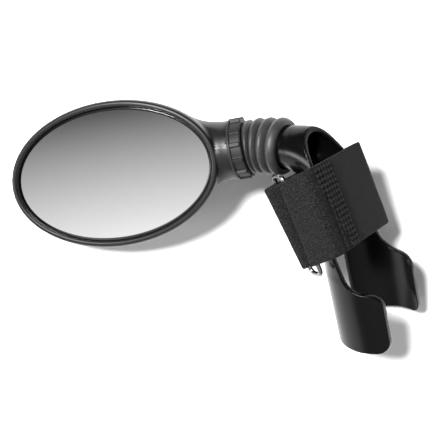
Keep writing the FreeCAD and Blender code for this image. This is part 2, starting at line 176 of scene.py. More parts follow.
def lathe(name, profile, cols, matrix, material, sharp, bump_at):
    """Closed ring about the frame's X axis from a closed (x, r) profile, its radius changed by bump_at."""
    points = []
    uv = []
    for x, r in profile:
        for c in range(cols):
            angle = 2 * math.pi * c / cols
            rr = bump_at(x, r, angle)
            points.append((x, rr * math.cos(angle), rr * math.sin(angle)))
            uv.append((angle * LATHE_UV_R, x))
    return add_mesh(name, points, torus_faces(len(profile), cols), matrix, material, uv, sharp)


# ---------------------------------------------------------------- materials
class Paint:
    """A Principled material and short calls that add its nodes."""

    def __init__(self, name, colour, roughness, metallic=0.0, specular=0.5):
        self.material = bpy.data.materials.new(name)
        self.material.use_nodes = True
        self.tree = self.material.node_tree
        self.shader = self.tree.nodes["Principled BSDF"]
        self.shader.inputs["Base Color"].default_value = (*colour, 1)
        self.shader.inputs["Roughness"].default_value = roughness
        self.shader.inputs["Metallic"].default_value = metallic
        self.shader.inputs["Specular IOR Level"].default_value = specular

    def node(self, kind, **inputs):
        made = self.tree.nodes.new(kind)
        for key, value in inputs.items():
            made.inputs[key.replace("_", " ")].default_value = value
        return made

    def link(self, a, out, b, into):
        self.tree.links.new(a.outputs[out], b.inputs[into])

    def place(self, source, scale):
        coordinates = self.tree.nodes.new("ShaderNodeTexCoord")
        mapping = self.tree.nodes.new("ShaderNodeMapping")
        mapping.inputs["Scale"].default_value = scale
        self.link(coordinates, source, mapping, "Vector")
        return mapping

    def noise(self, scale, detail, rough=0.55):
        mapping = self.place("Object", (1, 1, 1))
        made = self.node("ShaderNodeTexNoise", Scale=scale, Detail=detail, Roughness=rough)
        self.link(mapping, "Vector", made, "Vector")
        return made

    def ramp(self, source, out, stops, into):
        made = self.tree.nodes.new("ShaderNodeValToRGB")
        ramp = made.color_ramp
        while len(ramp.elements) < len(stops):
            ramp.elements.new(0.5)
        for element, (at, colour) in zip(ramp.elements, stops):
            element.position = at
            element.color = (*colour, 1)
        self.link(source, out, made, "Fac")
        self.link(made, "Color", self.shader, into)

    def bump(self, source, out, strength, distance, after=None):
        made = self.node("ShaderNodeBump", Strength=strength, Distance=distance)
        self.link(source, out, made, "Height")
        if after is not None:
            self.link(after, "Normal", made, "Normal")
        self.link(made, "Normal", self.shader, "Normal")
        return made

    def range(self, source, out, low, high, into):
        made = self.tree.nodes.new("ShaderNodeMapRange")
        made.inputs["To Min"].default_value = low
        made.inputs["To Max"].default_value = high
        self.link(source, out, made, "Value")
        self.link(made, "Result", self.shader, into)


def grey(v, blue=0.02):
    """A grey, slightly bluish unless told otherwise."""
    return (v, v, v * (1 + blue))


def moulded(name, value, roughness, spread, grain_scale=1400.0, grain=0.03, specular=0.5):
    """Moulded black plastic: faint flow marks in its gloss and a very fine surface ripple."""
    p = Paint(name, grey(value), roughness, specular=specular)
    clouds = p.noise(scale=60.0, detail=4.0)
    p.ramp(clouds, "Fac", [(0.3, grey(value * 0.85)), (0.7, grey(value * 1.2))], "Base Color")
    p.range(clouds, "Fac", roughness - spread, roughness + spread, "Roughness")
    fine = p.noise(grain_scale, detail=2.0)
    p.bump(fine, "Fac", grain, distance=0.0002)
    return p.material


def rubber(name, value):
    """Matt rubber: cloudy shade and gloss, with a fine grain."""
    p = Paint(name, grey(value), 0.5, specular=0.4)
    clouds = p.noise(scale=220.0, detail=5.0)
    p.ramp(clouds, "Fac", [(0.3, grey(value * 0.8)), (0.72, grey(value * 1.35))], "Base Color")
    p.range(clouds, "Fac", 0.38, 0.6, "Roughness")
    fine = p.noise(scale=2600.0, detail=3.0)
    p.bump(fine, "Fac", strength=0.12, distance=0.0002)
    return p.material


def metal(name, value, roughness, scratch):
    """Plated metal: uneven gloss and faint scratches."""
    p = Paint(name, grey(value), roughness, metallic=1.0)
    clouds = p.noise(scale=300.0, detail=4.0)
    p.ramp(clouds, "Fac", [(0.3, grey(value * 0.88)), (0.7, grey(value))], "Base Color")
    p.range(clouds, "Fac", roughness * 0.7, roughness * 1.5, "Roughness")
    fine = p.noise(scale=1800.0, detail=2.0)
    p.bump(fine, "Fac", scratch, distance=0.0001)
    return p.material


def silvered(name, value, roughness):
    """Silvered glass with a trace of dust."""
    p = Paint(name, grey(value, 0.0), roughness, metallic=1.0)
    dust = p.noise(scale=90.0, detail=6.0)
    p.ramp(dust, "Fac", [(0.35, grey(value * 0.985, 0.0)), (0.7, grey(value, 0.0))], "Base Color")
    p.range(dust, "Fac", roughness * 0.5, roughness * 1.6, "Roughness")
    return p.material


WAVES_PER_MM = 0.314
WEAVE_STOPS = (0.0, 0.55, 1.0)


def woven(name, value, pitch, strength, twill=0.0, fuzz=0.0, stretch=1.0, painted_shade_and_sheen=(0.45, 1.25, 1.7)):
    """Narrow woven tape: warp and weft ridges across the UV map, which is in millimetres. Over the tape's own dark
    grey, its colour adds painted shade in the valleys between the threads and a painted sheen on their crowns.
    """
    p = Paint(name, grey(value), 0.82, specular=0.2)
    mapping = p.place("UV", (1, stretch, 1))
    mapping.inputs["Rotation"].default_value = (0, 0, twill)
    ridges = p.tree.nodes.new("ShaderNodeMath")
    ridges.operation = "MULTIPLY"
    for i, direction in enumerate(("X", "Y")):
        wave = p.node("ShaderNodeTexWave", Scale=WAVES_PER_MM / pitch, Distortion=0.25, Detail=1.0)
        wave.wave_type = "BANDS"
        wave.bands_direction = direction
        p.link(mapping, "Vector", wave, "Vector")
        p.link(wave, "Fac", ridges, i)
    # The colour stops put painted shade in the weave's valleys and a painted sheen on its crowns.
    stops = [(at, grey(value * shade)) for at, shade in zip(WEAVE_STOPS, painted_shade_and_sheen)]
    p.ramp(ridges, "Value", stops, "Base Color")
    first = p.bump(ridges, "Value", strength, distance=0.0003)
    if fuzz:
        speck = p.noise(scale=1500.0, detail=4.0)
        p.bump(speck, "Fac", fuzz, distance=0.0004, after=first)
    return p.material


def looped(name, value):
    """Brushed loop pile on a dark ground, with pale specks painted as glints off its fibres and the darkest specks
    painted as shade between its tufts.
    """
    p = Paint(name, grey(value), 0.95, specular=0.1)
    curls = p.noise(scale=2400.0, detail=6.0, rough=0.75)
    # Pale stops are painted glints on the pile's fibres; the darkest stop is painted shade between its tufts.
    stops = [(0.38, grey(value * 0.3)), (0.52, grey(value)), (0.66, grey(value * 6.0))]
    p.ramp(curls, "Fac", stops, "Base Color")
    first = p.bump(curls, "Fac", strength=0.9, distance=0.0006)
    fine = p.noise(scale=3800.0, detail=3.0)
    p.bump(fine, "Fac", strength=0.5, distance=0.0003, after=first)
    return p.material


def foam_skin(name, value):
    """Open-cell foam: a grey ground with painted shade in its pits, which the same noise sinks as bump."""
    p = Paint(name, grey(value), 0.9, specular=0.2)
    cells = p.noise(scale=700.0, detail=4.0)
    # The darker stop is painted shade in the foam's pits.
    p.ramp(cells, "Fac", [(0.35, grey(value * 0.6)), (0.65, grey(value * 1.3))], "Base Color")
    p.bump(cells, "Fac", strength=0.6, distance=0.0004)
    return p.material


GLOSS = moulded("gloss_plastic", 0.0014, 0.23, 0.03, grain_scale=900.0, grain=0.02, specular=0.13)
SHELL = moulded("shell_plastic", 0.003, 0.4, 0.04, grain_scale=1600.0, grain=0.04, specular=0.32)
CUP = moulded("cup_plastic", 0.03, 0.5, 0.06)
COLLAR_PAINT = moulded("collar_plastic", 0.012, 0.5, 0.06, grain_scale=2200.0, grain=0.1, specular=0.2)
LINER = moulded("liner_plastic", 0.6, 0.4, 0.05)
BOOT = rubber("boot_rubber", 0.017)
STEEL = metal("zinc_steel", 0.6, 0.32, 0.08)
CHROME = metal("dark_plate", 0.2, 0.22, 0.02)
MIRROR = silvered("mirror_silver", 0.86, 0.015)
BEVEL = silvered("mirror_bevel", 0.3, 0.06)
FOAM = foam_skin("foam_cells", 0.12)
# The tuples given last set each tape's painted shade in its weave's valleys and painted sheen on its crowns; the
# hook tape's darkest stop is painted shade in the gaps between its rows.
WOVEN = woven("woven_tape", 0.008, 0.85, 0.6, twill=0.6, fuzz=0.12, painted_shade_and_sheen=(0.2, 1.0, 2.4))
LOOP = looped("loop_pile", 0.008)
HOOK = woven("hook_ground", 0.012, 1.9, 0.9, fuzz=0.3, stretch=0.83, painted_shade_and_sheen=(0.08, 0.7, 1.5))
THREAD = woven("sewing_thread", 0.03, 0.3, 0.6, twill=0.5, fuzz=0.1)

# ---------------------------------------------------------------- mirror head
# The middle of the head lies HEAD_X from the ball; heights are above the seam between the shells.
HEAD_X = 63.4
COLS = 480
BACK_OVAL = (17.0, 9.5)
RIM_OVAL = (46.3, 30.7)
BACK_Z = -8.8
RIM_Z = 10.4
FACE_Z = 12.3
RIDGE_IN = 1.3
SEAM_X = 12.3
SKIN_END_X = 11.7
NECK_R = 12.25
NECK_LONG = 22.1
NECK_END = (18.2, 7.5)
NECK_FLARE = 1.7
# Only rays that point this far towards the ball are joined to the neck.
NECK_SIDE = -0.83
NECK_RAY = (4, 63, 2200)
FILLET = 7.0
FILLET_FADE = 6.0
FILLET_LEAST = 0.02
GROOVE = 0.22
GROOVE_HALF = 0.15
BACK_RINGS = (0.15, 0.4, 0.65, 0.85)
BOWL_STEPS = 63
BOWL_SWELL = 0.85
SEAM_CLEAR = 0.7
SEAM_HEIGHTS = (-0.5, -0.2, -0.13, 0.0, 0.13, 0.2, 0.5)
RIDGE_STEPS = 8
BEZEL_LIP = ((44.4, 28.8, 12.3), (44.05, 28.45, 12.18), (43.9, 28.3, 11.9), (43.55, 27.95, 10.2),
             (43.5, 27.9, 8.0))
FRONT_BACK_Z = 0.01
SHELL_SHARP = 50


def bowl_rows():
    """(half length, half width, height, groove depth) rows from the back to the ridge of the bezel."""
    rows = [(BACK_OVAL[0] * s, BACK_OVAL[1] * s, BACK_Z, 0) for s in BACK_RINGS]
    heights = []
    for i in range(BOWL_STEPS + 1):
        heights.append(BACK_Z + (RIM_Z - BACK_Z) * (1 - math.cos(math.radians(90.0 * i / BOWL_STEPS))))
    heights = [z for z in heights if abs(z) > SEAM_CLEAR]
    heights += SEAM_HEIGHTS
    for z in sorted(heights):
        swell = math.sin(math.acos(1 - (z - BACK_Z) / (RIM_Z - BACK_Z))) ** BOWL_SWELL
        a = BACK_OVAL[0] + (RIM_OVAL[0] - BACK_OVAL[0]) * swell
        b = BACK_OVAL[1] + (RIM_OVAL[1] - BACK_OVAL[1]) * swell
        rows.append((a, b, z, GROOVE if abs(z) < GROOVE_HALF else 0))
    for i in range(1, RIDGE_STEPS + 1):
        angle = math.radians(90.0 * i / RIDGE_STEPS)
        inset = RIDGE_IN * (1 - math.cos(angle))
        height = RIM_Z + (FACE_Z - RIM_Z) * math.sin(angle)
        rows.append((RIM_OVAL[0] - inset, RIM_OVAL[1] - inset, height, 0))
    return rows


def neck_half(x, end):
    """Half width or half height of the neck, which grows to end where it meets the bowl."""
    share = np.clip((x - SEAM_X) / NECK_LONG, 0, 1)
    return NECK_R + (end - NECK_R) * share ** NECK_FLARE


def neck_reach(d):
    """How far along each ray from the head's middle the neck's surface is crossed last."""
    steps = np.linspace(*NECK_RAY)
    x = HEAD_X + d[:, 0:1] * steps
    y = d[:, 1:2] * steps
    z = d[:, 2:3] * steps
    inside = (y / neck_half(x, NECK_END[0])) ** 2 + (z / neck_half(x, NECK_END[1])) ** 2 - 1
    last = len(steps) - 1 - np.argmax(inside[:, ::-1] <= 0, axis=1)
    beyond = np.minimum(last + 1, len(steps) - 1)
    before = inside[np.arange(len(d)), last]
    rise = np.maximum(inside[np.arange(len(d)), beyond] - before, 1e-9)
    return steps[last] + np.clip(-before / rise, 0, 1) * (steps[beyond] - steps[last])


def shell_row(a, b, z, groove):
    """One ring of the skin: the bowl's oval, drawn out along rays where the neck is further out."""
    phi = np.linspace(0, 2 * np.pi, COLS, endpoint=False)
    rho = 1 / np.sqrt((np.cos(phi) / a) ** 2 + (np.sin(phi) / b) ** 2)
    far = np.sqrt(rho ** 2 + z ** 2)
    d = np.stack([rho * np.cos(phi), rho * np.sin(phi), np.full(COLS, z)], 1) / far[:, None]
    out = far - groove
    side = np.where(d[:, 0] < NECK_SIDE)[0]
    neck = neck_reach(d[side])
    fillet = FILLET * min(1.0, max(FILLET_LEAST, (FACE_Z - z) / FILLET_FADE))
    gap = np.clip(fillet - np.abs(out[side] - neck), 0, None) / fillet
    joined = np.maximum(out[side], neck - groove) + gap * gap * fillet / 4
    out[side] = np.minimum(joined, (HEAD_X - SKIN_END_X) / -d[side, 0])
    return np.array([HEAD_X, 0, 0]) + d * out[:, None]


def oval_row(a, b, z):
    """One plain oval ring round the head's middle."""
    phi = np.linspace(0, 2 * np.pi, COLS, endpoint=False)
    return np.stack([HEAD_X + a * np.cos(phi), b * np.sin(phi), np.full(COLS, z)], 1)


def stacked(name, rows, first_centre, last_centre, material, sharp):
    """Closed skin through rows of points, with a fan at each end."""
    points = [first_centre]
    for row in rows:
        points += [tuple(p) for p in row]
    points.append(last_centre)
    faces = fan_faces(0, 1, COLS, True)
    faces += ring_faces(len(rows), COLS, 1)
    faces += fan_faces(len(points) - 1, 1 + (len(rows) - 1) * COLS, COLS)
    uv = [(p[0], p[1]) for p in points]
    return add_mesh(name, points, faces, HEAD, material, uv, sharp)


def head_skins():
    """Rear and front shells with the neck, parted at the seam's height."""
    rows = bowl_rows()
    skin = [shell_row(*row) for row in rows]
    middle = [i for i, row in enumerate(rows) if row[2] == 0.0][0]
    rear = skin[:middle + 1]
    front = skin[middle:] + [oval_row(*lip) for lip in BEZEL_LIP]
    back = stacked("rear_skin", rear, (HEAD_X, 0, BACK_Z), (HEAD_X, 0, 0), SHELL, SHELL_SHARP)
    inner = (HEAD_X, 0, BEZEL_LIP[-1][2])
    face = stacked("front_skin", front, (HEAD_X, 0, FRONT_BACK_Z), inner, SHELL, SHELL_SHARP)
    for obj, node in ((back, "rear_shell"), (face, "front_shell")):
        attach(obj, "head")
        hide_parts(node)


GLASS_TOP = 11.7
GLASS_R = 700.0
GLASS_OVAL = (43.35, 27.75)
GLASS_RINGS = 22
GLASS_FIRST_RING = 0.06
GLASS_EDGE = 1.9
GLASS_THICK = 2.0
GLASS_SHARP = 12
BEVEL_W = 1.1
BEVEL_DROP = 0.42


def glass_row(a, b, drop):
    """One ring on the glass's convex face, or below it by drop."""
    phi = np.linspace(0, 2 * np.pi, COLS, endpoint=False)
    x = a * np.cos(phi)
    y = b * np.sin(phi)
    z = GLASS_TOP - GLASS_R + np.sqrt(GLASS_R ** 2 - x ** 2 - y ** 2) - drop
    return np.stack([HEAD_X + x, y, z], 1)


def mirror_plate():
    """Convex glass with a ground bevel round its edge."""
    a, b = GLASS_OVAL
    shares = np.linspace(GLASS_FIRST_RING, 1.0, GLASS_RINGS)
    rows = [glass_row((a - BEVEL_W) * s, (b - BEVEL_W) * s, 0) for s in shares]
    rows.append(glass_row(a - BEVEL_W * 0.5, b - BEVEL_W * 0.5, BEVEL_DROP * 0.5))
    rows.append(glass_row(a, b, BEVEL_DROP))
    rows.append(glass_row(a, b, GLASS_EDGE))
    face = (HEAD_X, 0, GLASS_TOP)
    back = (HEAD_X, 0, GLASS_TOP - GLASS_THICK)
    plate = stacked("glass_plate", rows, face, back, MIRROR, GLASS_SHARP)
    plate.data.materials.append(BEVEL)
    first = 1 + (GLASS_RINGS - 1) * COLS
    for polygon in plate.data.polygons:
        if min(polygon.vertices) >= first:
            polygon.material_index = 1
    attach(plate, "head")
    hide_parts("mirror_glass")


# ---------------------------------------------------------------- ball joint
COLLAR = (6.4, 12.1)
COLLAR_R = 12.1
COLLAR_BORE = 8.4
COLLAR_COLS = 360
COLLAR_SHARP = 60
# (x, r) of the edge from the collar's start, and steps of the lip's root and of its rounded rim.
COLLAR_EDGE = ((0, COLLAR_BORE), (0, 10.6), (0.02, 11.4), (0.12, 11.75), (0.3, 11.97), (0.55, COLLAR_R))
COLLAR_BODY = (0.2, 0.4, 0.6, 0.8, 1.0)
LIP_R = 12.9
LIP_W = 1.1
LIP_ROOT = ((-0.12, 0.04), (-0.04, 0.12), (0, 0.3))
LIP_CORNER = 0.4
LIP_ROUND = ((0.03, 0.2), (0.12, 0.06), (0.28, 0))
ROOT_REACH = 0.25
RIBS = 12
RIB_H = 0.8
RIB_HALF = 0.75
RIB_ROUND = (0.3, 0.45)
RIB_EASE = (0.5, 0.25)
RIB_LOWEST = 1.5
RIB_LIP_GAP = 0.05


def ribbed(x, r, angle):
    """The collar's radius with its ribs, which fade out towards its edge and stop at its lip."""
    if r < COLLAR_R - RIB_LOWEST or x > COLLAR[1] - LIP_W - RIB_LIP_GAP:
        return r
    turn = angle / (2 * math.pi) * RIBS
    off = abs((turn % 1.0) - 0.5) * 2 * math.pi * COLLAR_R / RIBS
    share = min(1.0, max(0.0, (RIB_HALF + RIB_ROUND[0] - off) / RIB_ROUND[1]))
    share = share * share * (3 - 2 * share)
    ease = min(1.0, max(0.0, (x - COLLAR[0]) / RIB_EASE[0] + RIB_EASE[1]))
    return r + RIB_H * share * ease


def collar():
    """The clamp collar: a round edge, a ribbed body and a lip towards the head."""
    a, b = COLLAR
    lip = b - LIP_W
    start = a + COLLAR_EDGE[-1][0]
    profile = [(a + x, r) for x, r in COLLAR_EDGE]
    profile += [(start + (lip - ROOT_REACH - start) * s, COLLAR_R) for s in COLLAR_BODY]
    profile += [(lip + x, COLLAR_R + r) for x, r in LIP_ROOT]
    profile += [(lip + x, LIP_R - r) for x, r in LIP_ROUND]
    profile += [(b - x, LIP_R - r) for x, r in LIP_ROUND[::-1]]
    profile += [(b, LIP_R - LIP_CORNER), (b, COLLAR_BORE)]
    obj = lathe("ribbed_collar", profile, COLLAR_COLS, HEAD, COLLAR_PAINT, COLLAR_SHARP, ribbed)
    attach(obj, "collar")
    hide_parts("collar_ring")


RIDGES = (11.1, 11.6, 11.8, 12.0)
VALLEY = 9.7
CUFF = 10.4
BORE = 9.3
BOOT_HEAD_END = 6.1
BOOT_TUBE_END = 11.6
BOOT_COLS = 128
BOOT_STEPS = 96
BORE_STRIDE = 8
CREST = (1.8, 0.8)
BOOT_UV = (11, 17)
BOOT_SHARP = 75


def boot_point(share):
    """Place and direction on the boot's middle line, a curve drawn towards the ball's centre."""
    first = BALL + HEAD_AXIS * BOOT_HEAD_END * MM
    last = BALL + TUBE_AXIS * BOOT_TUBE_END * MM
    rest = 1 - share
    point = first * (rest * rest) + BALL * (2 * rest * share) + last * (share * share)
    direction = (BALL - first) * rest + (last - BALL) * share
    return point, direction.normalized()


def boot_radius(share):
    """Outer radius of the bellows, with a cuff at each end."""
    turn = share * len(RIDGES)
    i = min(int(turn), len(RIDGES) - 1)
    u = turn - i
    low = VALLEY
    if (i == 0 and u < 0.5) or (i == len(RIDGES) - 1 and u > 0.5):
        low = CUFF
    crest = max(0.0, 1 - abs(2 * u - 1) ** CREST[0]) ** CREST[1]
    return low + (RIDGES[i] - low) * crest


def bellows():
    """The rubber boot, closed by its bore, which bends between the ball and the liner."""
    side = TUBE_AXIS.cross(HEAD_AXIS).normalized()
    shares = [i / BOOT_STEPS for i in range(BOOT_STEPS + 1)]
    rings = [(s, boot_radius(s)) for s in shares] + [(s, BORE) for s in shares[::-BORE_STRIDE]]
    points = []
    uv = []
    for share, radius in rings:
        point, direction = boot_point(share)
        other = direction.cross(side).normalized()
        for c in range(BOOT_COLS):
            angle = 2 * math.pi * c / BOOT_COLS
            p = point + (side * math.cos(angle) + other * math.sin(angle)) * radius * MM
            points.append(tuple(p / MM))
            uv.append((angle * BOOT_UV[0], share * BOOT_UV[1]))
    scale = Matrix.Diagonal((MM, MM, MM, 1))
    faces = torus_faces(len(rings), BOOT_COLS)
    obj = add_mesh("bellows_skin", points, faces, scale, BOOT, uv, BOOT_SHARP)
    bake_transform(obj)
    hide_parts("bellows_boot")


# ---------------------------------------------------------------- saddle bracket
LEG_RUN = 31.0
# Length and radius of each stretch of the middle line, then the outer radius at lengths along it.
BENDS = ((LEG_RUN, None), (math.radians(14.0) * 150.0, 150.0), (math.radians(72.0) * 22.0, 22.0),
         (6.2, None))
SECTIONS = ((0.0, 19.0), (31.0, 19.0), (45.0, 18.2), (58.0, 17.2), (69.0, 15.4), (79.0, 12.9),
            (89.0, 10.6), (101.5, 8.7))
WALL = 2.1
VOXEL = 0.36
SOFTEN = (0.5, 7)
SNAP = 0.3
SNAP_GAIN = 2.2
BARE_ENDS = (0.1, 0.8)
BARE_MOUTH = 3.6
LINE_STEPS = 1000
BLOCK = 4000
PLANE = 0.8
REACH = 30.0
FAR = 1e3


def centreline(run):
    """x, z and turn of the bracket's middle line at a length from its lower end."""
    x = z = turn = 0.0
    for length, radius in BENDS:
        step = min(run, length)
        if radius is None:
            x -= step * math.sin(turn)
            z += step * math.cos(turn)
        else:
            after = turn + step / radius
            x -= radius * (math.cos(turn) - math.cos(after))
            z += radius * (math.sin(after) - math.sin(turn))
            turn = after
        run -= step
        if run <= 0:
            break
    return x, z, turn


def smooth_radius(run):
    """The bracket's outer radius: a monotone cubic through its sections."""
    xs = np.array([s[0] for s in SECTIONS])
    ys = np.array([s[1] for s in SECTIONS])
    h = np.diff(xs)
    slope = np.diff(ys) / h
    m = np.zeros(len(xs))
    m[-1] = slope[-1]
    for i in range(1, len(xs) - 1):
        if slope[i - 1] * slope[i] > 0:
            m[i] = 2 * slope[i - 1] * slope[i] / (slope[i - 1] + slope[i])
    i = np.clip(np.searchsorted(xs, run) - 1, 0, len(h) - 1)
    t = (run - xs[i]) / h[i]
    return ((2 * t ** 3 - 3 * t ** 2 + 1) * ys[i] + (t ** 3 - 2 * t ** 2 + t) * h[i] * m[i]
            + (-2 * t ** 3 + 3 * t ** 2) * ys[i + 1] + (t ** 3 - t ** 2) * h[i] * m[i + 1])


def resmoothed(name, source):
    """A copy of a node's mesh, remeshed finely and softened until its rims are round."""
    obj = bpy.data.objects.new(name, source.data.copy())
    bpy.context.scene.collection.objects.link(obj)
    remesh = obj.modifiers.new("remesh", "REMESH")
    remesh.mode = "VOXEL"
    remesh.voxel_size = VOXEL * MM * 1
    soften = obj.modifiers.new("soften", "SMOOTH")
    soften.factor, soften.iterations = SOFTEN
    graph = bpy.context.evaluated_depsgraph_get()
    mesh = bpy.data.meshes.new_from_object(obj.evaluated_get(graph))
    obj.modifiers.clear()
    obj.data = mesh
    return obj


def nearest_on(line, p):
    """For each point, the index of the middle line's point whose cross-section it lies in."""
    best = np.zeros(len(p), int)
    turn = line[:, 2]
    for start in range(0, len(p), BLOCK):
        block = p[start:start + BLOCK]
        dx = block[:, 0:1] - line[None, :, 0]
        dz = block[:, 2:3] - line[None, :, 1]
        along = np.abs(dx * -np.sin(turn) + dz * np.cos(turn))
        away = (dx ** 2 + dz ** 2 > REACH ** 2) | (along > PLANE)
        best[start:start + BLOCK] = np.argmin(along + away * FAR, axis=1)
    return best


def drawn_to_walls(p):
    """Points near the bracket's outer or inner wall, moved onto that wall's smooth radius."""
    runs = np.linspace(0, sum(b[0] for b in BENDS), LINE_STEPS)
    line = np.array([centreline(r) for r in runs])
    best = nearest_on(line, p)
    turn = line[best, 2]
    flat = np.zeros(len(p))
    tangent = np.stack([-np.sin(turn), flat, np.cos(turn)], 1)
    base = np.stack([line[best, 0], flat, line[best, 1]], 1)
    ahead = ((p - base) * tangent).sum(1)
    run = runs[best] + ahead
    foot = base + tangent * ahead[:, None]
    radial = p - foot
    size = np.linalg.norm(radial, axis=1)
    direction = radial / np.maximum(size, 1e-9)[:, None]
    outer = smooth_radius(run)
    for target, bare in ((outer, BARE_ENDS[1]), (outer - WALL, BARE_MOUTH)):
        off = size - target
        weight = np.clip(np.clip(1 - np.abs(off) / SNAP, 0, 1) * SNAP_GAIN, 0, 1)
        weight[(run > runs[-1] - bare) | (run < BARE_ENDS[0])] = 0
        size = size - off * weight
    return foot + direction * size[:, None]


def bracket_skin():
    """The bracket with softly rounded rims, drawn back to its smooth walls."""
    obj = resmoothed("bracket_skin", frame["nodes"]["saddle_bracket"])
    mesh = obj.data
    co = np.zeros(len(mesh.vertices) * 3)
    mesh.vertices.foreach_get("co", co)
    inverse = np.array(BRACKET.inverted())
    p = co.reshape(-1, 3) @ inverse[:3, :3].T + inverse[:3, 3]
    mesh.vertices.foreach_set("co", to_row(drawn_to_walls(p), BRACKET).ravel())
    for polygon in mesh.polygons:
        polygon.use_smooth = True
    mesh.materials.clear()
    mesh.materials.append(GLOSS)
    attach(obj, "bracket")
    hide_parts("saddle_bracket")


# ---------------------------------------------------------------- strap
STRAP_HALF = 19.0
STRAP_T = 1.2
# Routes of the four layers: x, y and the radius of the corner there.
BAND = ((-20.4, 0.0, 0), (-20.5, 15.9, 18.0), (0.0, 21.0, 3.0), (-0.3, -20.0, 3.0), (-10.6, -17.7, 0))
KEEPER = ((-20.4, -0.1, 0), (-20.6, -9.0, 8.0), (-17.38, -16.88, 1.95), (-21.44, -19.72, 1.95),
          (-25.4, -9.5, 10.0), (-21.4, 7.0, 0))
TAIL = ((-13.6, -17.25, 0), (-15.55, -17.25, 1.95), (-15.55, -21.15, 1.95), (1.05, -22.0, 3.4),
        (1.11, -17.6, 0))
PATCH = ((1.12, -17.5, 0), (1.2, -7.1, 0))
# Slide along the strap's width per mm of x, per mm of y, and at the origin.
SKEW = (0.266, -0.178, 3.7)
# Shares of the half width where the rounding starts and that it takes, and how much it thins the tape.
SELVEDGE = (0.955, 0.045, 0.85)
END_ROUND = 0.5
END_LEAST = 0.08
WAVE_SCALE = 0.11
BULGE_WAY = np.array([-0.86, -0.5])
BULGE = 2.5
BULGE_FROM = 16.0
BULGE_RISE = 5.0
BULGE_TO = 48.0
BULGE_FALL = 12.0
PILE = 0.16
PILE_SCALE = 1.7
PILE_MEAN = 0.3
HOOK_START = -3.1
HOOK_SLANT = 7.5
HOOK_HIGH = 0.8
HOOK_PITCH = (1.9, 2.3)
HOOK_FULL = 0.6


def corner_arc(before, corner, after, radius, step):
    """Points along the arc that rounds a corner between two straight runs."""
    before = before - corner
    after = after - corner
    before = before / np.linalg.norm(before)
    after = after / np.linalg.norm(after)
    half = math.acos(np.clip(before @ after, -1, 1)) / 2
    middle = (before + after) / np.linalg.norm(before + after)
    centre = corner + middle * (radius / math.sin(half))
    start = corner + before * (radius / math.tan(half)) - centre
    end = corner + after * (radius / math.tan(half)) - centre
    sweep = math.atan2(start[0] * end[1] - start[1] * end[0], start @ end)
    count = max(8, int(abs(sweep) * radius / step))
    arc = []
    for k in range(count + 1):
        c, s = math.cos(sweep * k / count), math.sin(sweep * k / count)
        arc.append(centre + np.array([c * start[0] - s * start[1], s * start[0] + c * start[1]]))
    return arc


def rounded(corners, step=0.5):
    """Evenly spaced points, their left-hand normals and their lengths along a rounded route."""
    points = [np.array(c[:2], float) for c in corners]
    line = [points[0]]
    for i in range(1, len(points) - 1):
        line += corner_arc(points[i - 1], points[i], points[i + 1], corners[i][2], step)
    line.append(points[-1])
    line = np.array(line)
    length = np.concatenate([[0], np.cumsum(np.linalg.norm(np.diff(line, axis=0), axis=1))])
    keep = np.concatenate([[True], np.diff(length) > 1e-6])
    line, length = line[keep], length[keep]
    at = np.linspace(0, length[-1], max(2, int(length[-1] / step)) + 1)
    even = np.stack([np.interp(at, length, line[:, 0]), np.interp(at, length, line[:, 1])], 1)
    tangent = np.gradient(even, axis=0)
    tangent /= np.linalg.norm(tangent, axis=1)[:, None]
    return even, np.stack([-tangent[:, 1], tangent[:, 0]], 1), at


TAIL_LONG = rounded(TAIL)[2][-1]


def wobble(x, y, z, scale, seed):
    """Smooth noise, with its own field for each seed."""
    return noise.noise(Vector((x * scale, y * scale, z * scale)) + SEED_SHIFT * seed)


def plain_face(run, z):
    """Relief of a sheet without any."""
    return 0.0


def pile_at(q, z, seed):
    """Height of the tufts of the loop pile."""
    return PILE * (wobble(q[0], q[1], z, PILE_SCALE, seed) + PILE_MEAN)


def hook_edge(z):
    """Where the coarse hook rows begin, in mm past the tail's end: a slanted line across the strap."""
    return HOOK_START + (STRAP_HALF - z) / (2 * STRAP_HALF) * HOOK_SLANT


def hook_rows(run, z):
    """Height of the rows of hook loops: rounded lumps on a grid, from the hook's edge onwards."""
    if run <= hook_edge(z):
        return 0.0
    lump = abs(math.sin(math.pi * run / HOOK_PITCH[0]) * math.sin(math.pi * z / HOOK_PITCH[1]))
    return HOOK_HIGH * lump ** HOOK_FULL


def no_bulge(run, z):
    """Bulge of a sheet that lies on its route."""
    return 0.0


def keeper_bulge(run, z):
    """How far the keeper's outer leg stands off: most at the upper edge, nothing at the lower one."""
    rise = min(1.0, max(0.0, (run - BULGE_FROM) / BULGE_RISE))
    fall = min(1.0, max(0.0, (BULGE_TO - run) / BULGE_FALL))
    return BULGE * (0.5 + z / (2 * STRAP_HALF)) * rise * fall


def strip_outline(cross):
    """(share of the half width, side) round the strip's cross-section."""
    columns = int(2 * STRAP_HALF / cross)
    outline = [(-1 + 2.0 * k / columns, 1) for k in range(columns + 1)]
    return outline + [(-1 + 2.0 * k / columns, -1) for k in range(columns, -1, -1)]


def selvedge(z_share):
    """How far a point is into the strip's rounded edge, from 0 to 1."""
    return max(0.0, (abs(z_share) - SELVEDGE[0]) / SELVEDGE[1])


def half_thick(z_share, from_end):
    """Half the strip's thickness, which is less at its selvedges and at its two ends."""
    thick = STRAP_T / 2 * math.sqrt(max(0.0, 1 - SELVEDGE[2] * selvedge(z_share) ** 2))
    return thick * math.sqrt(max(END_LEAST, min(1.0, from_end / END_ROUND)))


def paint_past_hook_edge(obj, uv, material):
    """Second material on the faces past the slanted line where the hooks begin."""
    obj.data.materials.append(material)
    for polygon in obj.data.polygons:
        run, z = np.mean([uv[v] for v in polygon.vertices], axis=0)
        polygon.material_index = int(run > hook_edge(z))


